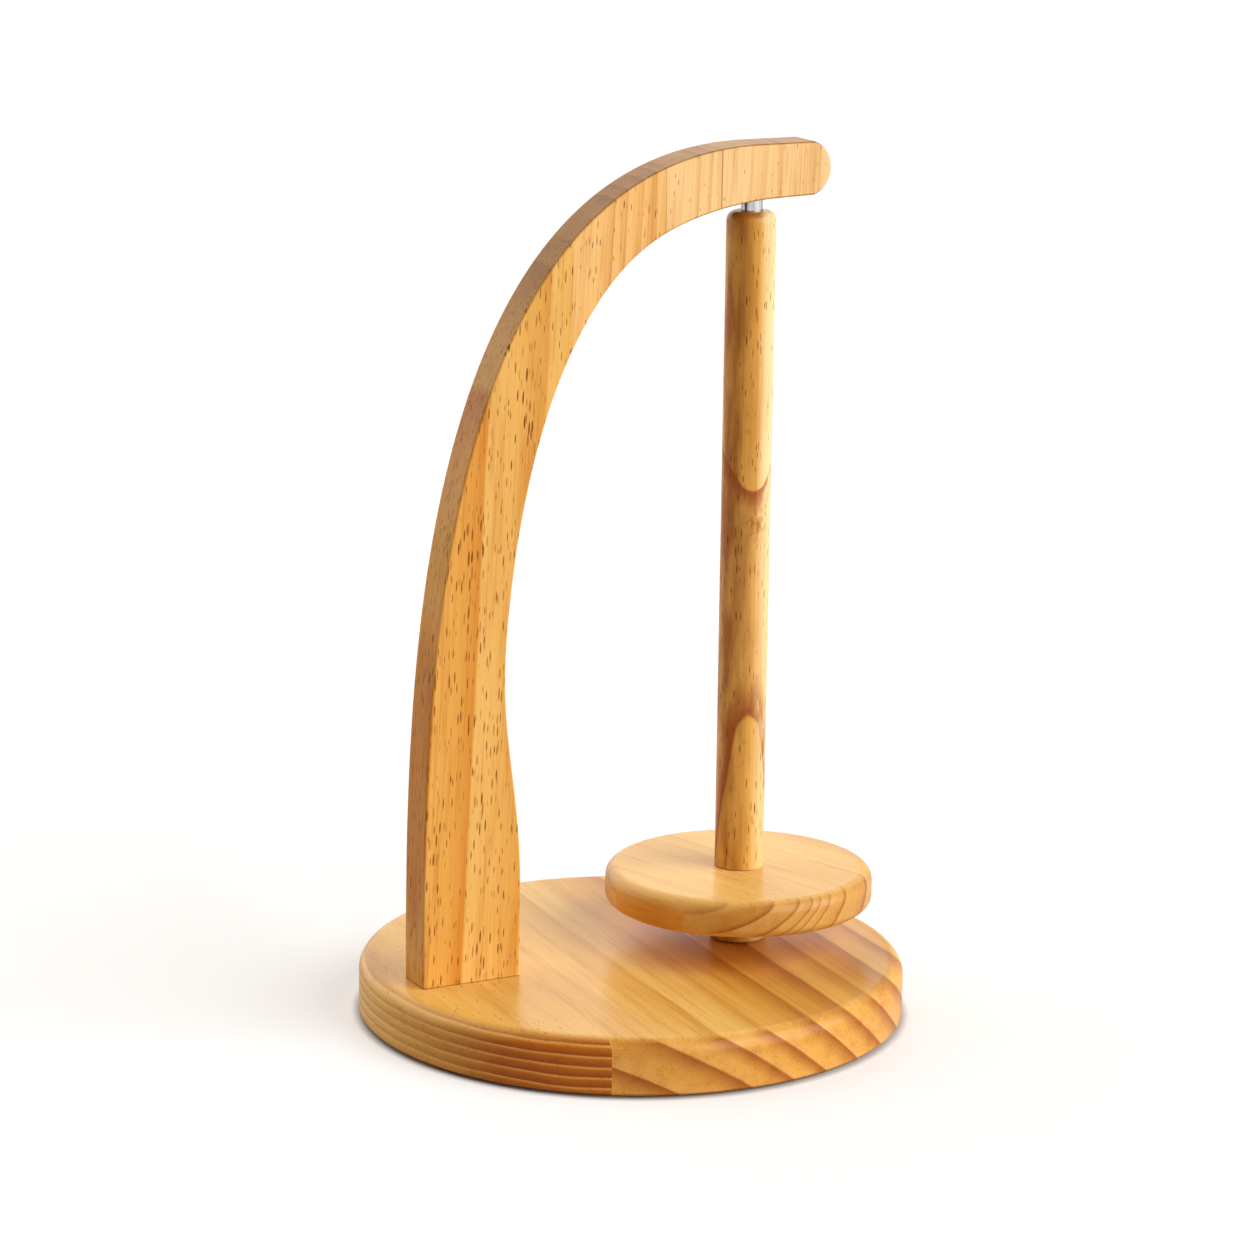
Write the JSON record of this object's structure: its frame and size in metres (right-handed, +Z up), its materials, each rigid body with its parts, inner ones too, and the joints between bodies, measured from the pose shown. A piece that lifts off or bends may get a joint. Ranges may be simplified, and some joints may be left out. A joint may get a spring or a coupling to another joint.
{
  "type": "paper towel holder",
  "caption": "Free-standing wooden roll holder: round base, tapered arm bent over like a crane, and a dowel spindle with a roll plate that turns between arm and base on steel pins.",
  "frame": {"origin": "centre of the base's underside, on the plane of the foot pads", "axes": "+Z up along the spindle, +X from the arm's foot towards the spindle, the arm's middle plane is XZ"},
  "size_m": [0.2, 0.2, 0.3175],
  "materials": {
    "base_pine": "clear lacquered pine, satin gloss",
    "arm_pine": "clear lacquered pine, satin gloss",
    "disc_pine": "clear lacquered pine, satin gloss",
    "dowel_pine": "clear lacquered pine, satin gloss",
    "pin_steel": "bright polished steel",
    "bush_brass": "turned brass",
    "screw_steel": "zinc plated steel",
    "pad_felt": "brown felt"
  },
  "bodies": {
    "stand": {"base_board": "base_pine", "base_edge_stave": "base_pine", "foot_pad_1": "pad_felt", "foot_pad_2": "pad_felt", "foot_pad_3": "pad_felt", "foot_pad_4": "pad_felt", "arm_stave_1": "arm_pine", "arm_stave_2": "arm_pine", "arm_stave_3": "arm_pine", "arm_stave_4": "arm_pine", "arm_stave_5": "arm_pine", "arm_screw_1": "screw_steel", "arm_screw_2": "screw_steel", "top_bush": "bush_brass", "base_socket": "bush_brass"},
    "lift_pin": {"top_pin": "pin_steel"},
    "spindle": {"spindle_dowel": "dowel_pine", "disc_board": "disc_pine", "disc_edge_stave": "disc_pine", "spindle_hub": "dowel_pine", "pivot_pin": "pin_steel"}
  },
  "joints": [
    {"name": "spindle_lift", "type": "slide", "parent": "stand", "child": "lift_pin", "axis": [0, 0, 1], "range_m": [0, 0.003]},
    {"name": "spindle_spin", "type": "hinge", "parent": "lift_pin", "child": "spindle", "pos_m": [0.0445, 0, 0.17], "axis": [0, 0, 1], "continuous": true}
  ]
}
